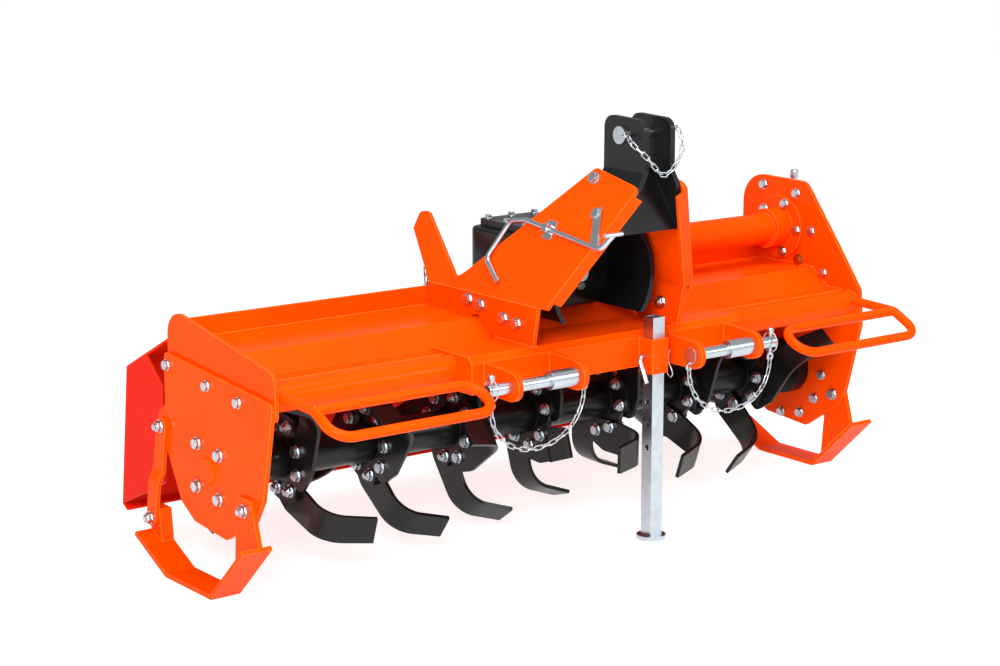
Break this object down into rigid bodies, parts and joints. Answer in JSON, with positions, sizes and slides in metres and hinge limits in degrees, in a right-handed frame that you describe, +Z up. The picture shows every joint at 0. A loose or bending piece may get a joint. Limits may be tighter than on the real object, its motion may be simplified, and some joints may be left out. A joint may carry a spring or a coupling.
{
  "type": "rotary tiller",
  "caption": "Tractor-mounted rotary tiller with side gear drive, tined rotor under a hood, hinged tailboard, three-point headstock, skids and a sliding parking stand.",
  "frame": {"origin": "floor under the middle of the machine's box", "axes": "+X to the gear-case side, -Y towards the tractor, +Z up"},
  "size_m": [1.524, 0.7493, 0.8122],
  "materials": {
    "orange_paint": "gloss",
    "black_paint": "satin",
    "zinc_plate": "satin",
    "bright_steel": "machined"
  },
  "bodies": {
    "frame": {"breather": "zinc_plate", "drive_tube": "orange_paint", "front_tube": "orange_paint", "gear_case": "orange_paint", "gearbox": "black_paint", "gearbox_cover": "black_paint", "hitch_beam": "orange_paint", "hood": "orange_paint", "hook_clip": "zinc_plate", "left_bearing": "black_paint", "left_end_plate": "orange_paint", "left_guard": "orange_paint", "left_headstock": "orange_paint", "left_hitch_lugs": "orange_paint", "left_hitch_pin": "zinc_plate", "left_hood_plate": "orange_paint", "left_linch_pin": "zinc_plate", "left_pin_chain": "zinc_plate", "left_skid": "orange_paint", "left_skid_strap": "orange_paint", "pto_guard": "black_paint", "pto_hook": "zinc_plate", "pto_shaft": "bright_steel", "right_bearing": "black_paint", "right_guard": "orange_paint", "right_headstock": "orange_paint", "right_hitch_lugs": "orange_paint", "right_hitch_pin": "zinc_plate", "right_linch_pin": "zinc_plate", "right_pin_chain": "zinc_plate", "right_side_plate": "orange_paint", "right_skid": "orange_paint", "right_skid_strap": "orange_paint", "stand_lock_pin": "zinc_plate", "stand_sleeve": "orange_paint", "tail_chain": "zinc_plate", "tailboard_hinge": "orange_paint", "top_linch_pin": "zinc_plate", "top_link_clevis": "black_paint", "top_link_pin": "zinc_plate", "top_pin_chain": "zinc_plate"},
    "rotor": {"rotor_shaft": "black_paint", "tines": "black_paint"},
    "tailboard": {"tailboard": "orange_paint", "tailboard_chain": "zinc_plate"},
    "stand_leg": {"stand_leg": "zinc_plate"}
  },
  "joints": [
    {"name": "rotor_spin", "type": "hinge", "parent": "frame", "child": "rotor", "pos_m": [0, 0.008, 0.21], "axis": [1, 0, 0], "continuous": true},
    {"name": "tailboard_lift", "type": "hinge", "parent": "frame", "child": "tailboard", "pos_m": [0, 0.125, 0.446], "axis": [1, 0, 0], "range_deg": [0, 55]},
    {"name": "stand_slide", "type": "slide", "parent": "frame", "child": "stand_leg", "axis": [0, 0, 1], "range_m": [0, 0.15]}
  ]
}
